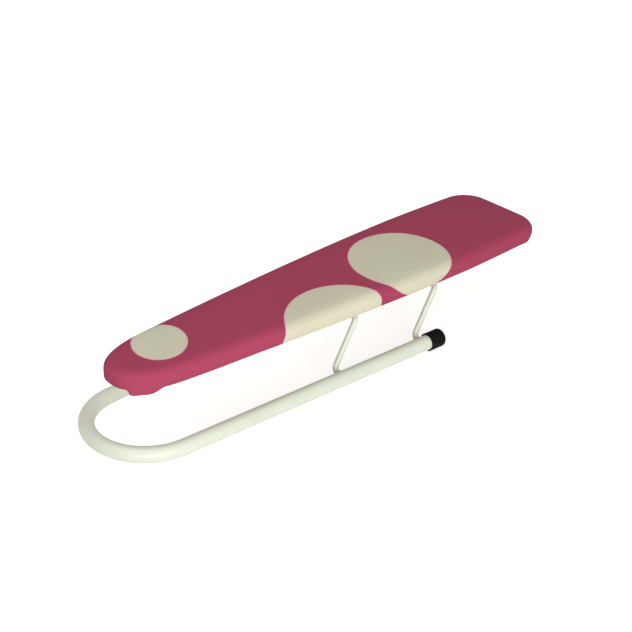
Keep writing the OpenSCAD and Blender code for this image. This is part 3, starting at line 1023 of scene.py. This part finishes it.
# %% A node tree that sets one shape at many places
class NodeTree:
    """A Geometry Nodes tree with named inputs."""

    def __init__(self, name):
        self.tree = bpy.data.node_groups.new(name, "GeometryNodeTree")
        for way in ("INPUT", "OUTPUT"):
            self.tree.interface.new_socket(
                "Geometry", in_out=way, socket_type="NodeSocketGeometry")
        self.sockets = {}
        self.inlet = self.tree.nodes.new("NodeGroupInput")
        self.outlet = self.tree.nodes.new("NodeGroupOutput")

    def input(self, name, kind, value):
        socket = self.tree.interface.new_socket(name, in_out="INPUT", socket_type=kind)
        self.sockets[socket.identifier] = value
        return self.inlet.outputs[name]

    def add(self, kind, inputs, **settings):
        return add_node(self.tree, kind, inputs, **settings)

    def copies(self, shape, points, turn, **more):
        """A copy of the shape at every point."""
        info = self.add("GeometryNodeObjectInfo", {"Object": shape})
        return self.add("GeometryNodeInstanceOnPoints", {
            "Points": points, "Instance": info.outputs["Geometry"], "Rotation": turn, **more})

    def grow(self, start, copies, finish, name):
        """Ends the tree, runs it on an object and returns the result as a plain mesh."""
        real = self.add("GeometryNodeRealizeInstances", {"Geometry": copies.outputs[0]})
        dressed = self.add("GeometryNodeSetMaterial",
                           {"Geometry": real.outputs[0], "Material": finish.material})
        self.tree.links.new(dressed.outputs[0], self.outlet.inputs["Geometry"])
        modifier = start.modifiers.new("shape", "NODES")
        modifier.node_group = self.tree
        for identifier, value in self.sockets.items():
            modifier[identifier] = value
        made = applied(start, name)
        smooth_shaded(made)
        print(name + ":", len(made.data.polygons), "faces")
        return made


def set_out(name, places, shape, finish, scale=1.0):
    """One copy of a shape at every place, turned about Z."""
    start = add_mesh(name + "_places", [place for place, _ in places], [])
    turns = start.data.attributes.new("turn", "FLOAT", "POINT")
    for item, (_, turn) in zip(turns.data, places):
        item.value = turn
    tree = NodeTree(name + "_tree")
    shape_in = tree.input("Shape", "NodeSocketObject", shape)
    scale_in = tree.input("Scale", "NodeSocketFloat", scale)
    turn = tree.add("GeometryNodeInputNamedAttribute", {"Name": "turn"}, data_type="FLOAT")
    angles = tree.add("ShaderNodeCombineXYZ", {"Z": turn.outputs["Attribute"]})
    copies = tree.copies(shape_in, tree.inlet.outputs["Geometry"], angles.outputs[0],
                         Scale=scale_in)
    made = tree.grow(start, copies, finish, name)
    bpy.data.objects.remove(shape)
    return made


# %% [markdown]
# ### Pan-head screws
# The head is a low dome with a cross-shaped recess. It is turned from a profile on a fine
# polar grid, and the grid's points inside the cross are pushed down. Cutting the cross
# with a boolean would leave untidy faces. The shank is hidden in the wood, so it is plain.

# %% Screws
HEAD_RADIUS = 3.0 * MM
HEAD_HEIGHT = 1.8 * MM
FLAT_SHARE = 0.86
FLAT_SLOPE = 0.35 * MM
FLAT_POWER = 2.5
FLAT_STEPS = 12
RIM_STEPS = 4
RIM_HEIGHT = 0.8
SEAT_GAP = 0.001
SHANK_RADIUS = 1.55 * MM
SHANK_LENGTH = 6.1 * MM
POINT_RADIUS = 0.3 * MM
POINT_START = 8.9 * MM
SCREW_LENGTH = 9.1 * MM
SCREW_ROUND = 48
CROSS_REACH = 1.9 * MM
CROSS_HALF = 0.55 * MM
CROSS_DEPTH = 1.1 * MM
CROSS_ZONE = 0.4 * MM
END_SLOPE = 3
SIDE_SLOPE = 2.5
PLATE = 1.2 * MM


def lathe(profile, steps):
    """A closed turned shape from (radius, height) pairs that start and end on the axis."""
    points, faces = [Vector((0, 0, profile[0][1]))], []
    for radius, height in profile[1:-1]:
        for k in range(steps):
            a = 2 * math.pi * k / steps
            points.append(Vector((radius * math.cos(a), radius * math.sin(a), height)))
    points.append(Vector((0, 0, profile[-1][1])))
    rings = len(profile) - 2
    for k in range(steps):
        n = (k + 1) % steps
        faces.append((0, 1 + n, 1 + k))
        for r in range(rings - 1):
            a, b = 1 + r * steps, 1 + (r + 1) * steps
            faces.append((a + k, a + n, b + n, b + k))
        last = 1 + (rings - 1) * steps
        faces.append((last + k, last + n, len(points) - 1))
    return points, faces


def pan_head_screw():
    profile = [(0, -HEAD_HEIGHT)]
    for k in range(1, FLAT_STEPS + 1):
        share = k / FLAT_STEPS
        profile.append((HEAD_RADIUS * share * FLAT_SHARE,
                        -HEAD_HEIGHT + FLAT_SLOPE * share ** FLAT_POWER))
    for k in range(1, RIM_STEPS + 1):
        a = math.pi / 2 * k / RIM_STEPS
        profile.append((HEAD_RADIUS * (FLAT_SHARE + (1 - FLAT_SHARE) * math.sin(a)),
                        -HEAD_HEIGHT * (RIM_HEIGHT * math.cos(a) + SEAT_GAP)))
    profile += [(SHANK_RADIUS, 0), (SHANK_RADIUS, SHANK_LENGTH),
                (POINT_RADIUS, POINT_START), (0, SCREW_LENGTH)]
    points, faces = lathe(profile, SCREW_ROUND)
    for p in points:
        reach = 1 - max(abs(p.x), abs(p.y)) / CROSS_REACH
        inside = 1 - min(abs(p.x), abs(p.y)) / CROSS_HALF
        if p.z < CROSS_ZONE - HEAD_HEIGHT and reach > 0 and inside > 0:
            p.z += CROSS_DEPTH * min(1.0, END_SLOPE * reach) * min(1.0, SIDE_SLOPE * inside)
    return add_mesh("screw_shape", points, faces)


def set_screws(name, node, turn_step):
    places = [(place, turn_step * k)
              for k, (place, _) in enumerate(places_of(node, PANEL_Z - PLATE))]
    return set_out(name, places, pan_head_screw(), zinc)


screws = set_screws("saddle_screws_pan_head", "saddle_screws", turn_step=0.9)
stop_screws = set_screws("stop_plate_screws_pan_head", "stop_plate_screws", turn_step=1.7)

# %% [markdown]
# ### Staples
# A staple is one flat wire bent to a crown and two legs, which go up into the wood. Its
# section is swept along that path. A bevelled curve could do it too, but this keeps the
# faces few and the flat side of the wire the right way round.

# %% Staples
STAPLE_WIDTH = 10 * MM
STAPLE_DEPTH = 6 * MM
STAPLE_WIRE = (1.2 * MM, 0.5 * MM)
STAPLE_BEND = 0.6 * MM
BEND_STEPS = 4
WIRE_SIDES = 8


def swept(path, across, section_points):
    """A closed bar: a section carried along a path that lies in one plane."""
    points, faces = [], []
    steps = len(section_points)
    for k, p in enumerate(path):
        run = path[min(k + 1, len(path) - 1)] - path[max(k - 1, 0)]
        side = run.normalized().cross(across)
        points += [p + across * a + side * b for a, b in section_points]
    for k in range(len(path) - 1):
        a, b = k * steps, (k + 1) * steps
        for j in range(steps):
            n = (j + 1) % steps
            faces.append((a + j, a + n, b + n, b + j))
    faces += [tuple(range(steps)), tuple(reversed(range(len(points) - steps, len(points))))]
    return points, faces


def oval(width, thick, sides, start):
    angles = (start + 2 * math.pi * k / sides for k in range(sides))
    return [(width / 2 * math.cos(a), thick / 2 * math.sin(a)) for a in angles]


def staple_shape():
    half = (STAPLE_WIDTH - STAPLE_WIRE[1]) / 2
    bend_z = STAPLE_BEND - STAPLE_WIRE[1] / 2
    middle = Vector((half - STAPLE_BEND, 0, bend_z))
    right = [Vector((half, 0, STAPLE_DEPTH)), Vector((half, 0, bend_z))]
    for k in range(1, BEND_STEPS):
        a = math.pi / 2 * k / BEND_STEPS
        right.append(middle + STAPLE_BEND * Vector((math.cos(a), 0, -math.sin(a))))
    left = [Vector((-p.x, 0, p.z)) for p in right]
    crown = [middle - Vector((0, 0, STAPLE_BEND))]
    path = left + crown + right[::-1]
    wire = oval(*STAPLE_WIRE, WIRE_SIDES, math.pi / WIRE_SIDES)
    return add_mesh("staple_shape", *swept(path, Vector((0, 1, 0)), wire))


staples = set_out("cover_staples_wire", staple_places, staple_shape(), zinc)

# %% [markdown]
# ### Stitches along the raw edge
# The raw edge of the hem is overcast, so that it doesn't fray. The seam is a row of short
# slanting threads that follows the edge. Here a tree turns the edge into a curve, puts
# points along it at the stitch pitch and lays a thread at each.

# %% Overcast seam
STITCH_PITCH = 2.6 * MM
STITCH_REACH = 3.2 * MM
STITCH_SHARE = 0.9
STITCH_RISE = 0.25 * MM
STITCH_GAP = 0.1 * MM
STITCH_STEPS = 6
THREAD = 0.45 * MM
THREAD_SIDES = 6
SEAM_INSET = 0.4


def thread_shape():
    path = []
    for k in range(STITCH_STEPS + 1):
        share = k / STITCH_STEPS - 0.5
        path.append(Vector((share * STITCH_PITCH * STITCH_SHARE, share * STITCH_REACH,
                            -STITCH_GAP - STITCH_RISE * math.cos(math.pi * share))))
    thread = oval(THREAD, THREAD, THREAD_SIDES, 0)
    return add_mesh("thread_shape", *swept(path, Vector((0, 0, 1)), thread))


def thread_finish():
    finish = Finish("seam_thread", Roughness=0.6, Sheen_Weight=0.2)
    ply = finish.noise(finish.object_point(), scale=2600.0, detail=2.0)
    finish.colour(finish.mix(ply, srgb(196, 92, 118), srgb(158, 62, 88)))
    finish.bump(ply, distance=0.1 * MM, strength=0.5)
    return finish


def overcast_seam():
    ring = [finished[ROUND + i].lerp(finished[i], SEAM_INSET) for i in range(ROUND)]
    line = add_mesh("seam_line", ring, [], [(i, (i + 1) % ROUND) for i in range(ROUND)])
    shape = thread_shape()
    tree = NodeTree("overcast_tree")
    shape_in = tree.input("Thread", "NodeSocketObject", shape)
    pitch_in = tree.input("Pitch", "NodeSocketFloat", STITCH_PITCH)
    curve = tree.add("GeometryNodeMeshToCurve", {"Mesh": tree.inlet.outputs["Geometry"]})
    spread = tree.add("GeometryNodeCurveToPoints",
                      {"Curve": curve.outputs[0], "Length": pitch_in}, mode="LENGTH")
    facing = tree.add("FunctionNodeAlignRotationToVector",
                      {"Vector": spread.outputs["Tangent"]}, axis="X", pivot_axis="Z")
    copies = tree.copies(shape_in, spread.outputs["Points"], facing.outputs[0])
    made = tree.grow(line, copies, thread_finish(), "hem_overcast_seam")
    bpy.data.objects.remove(shape)
    return made


seam = overcast_seam()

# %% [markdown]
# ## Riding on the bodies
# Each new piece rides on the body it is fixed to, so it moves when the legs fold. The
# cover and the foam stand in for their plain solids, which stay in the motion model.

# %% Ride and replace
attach(cover, "board")
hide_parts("cover")

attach(foam, "board")
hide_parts("foam_pad")

for piece, node in ((screws, "saddle_screws"), (stop_screws, "stop_plate_screws"),
                    (staples, "cover_staples")):
    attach(piece, "board")
    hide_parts(node)
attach(seam, "board")
print("soft pieces declared:", [piece.name for piece in (cover, foam)])
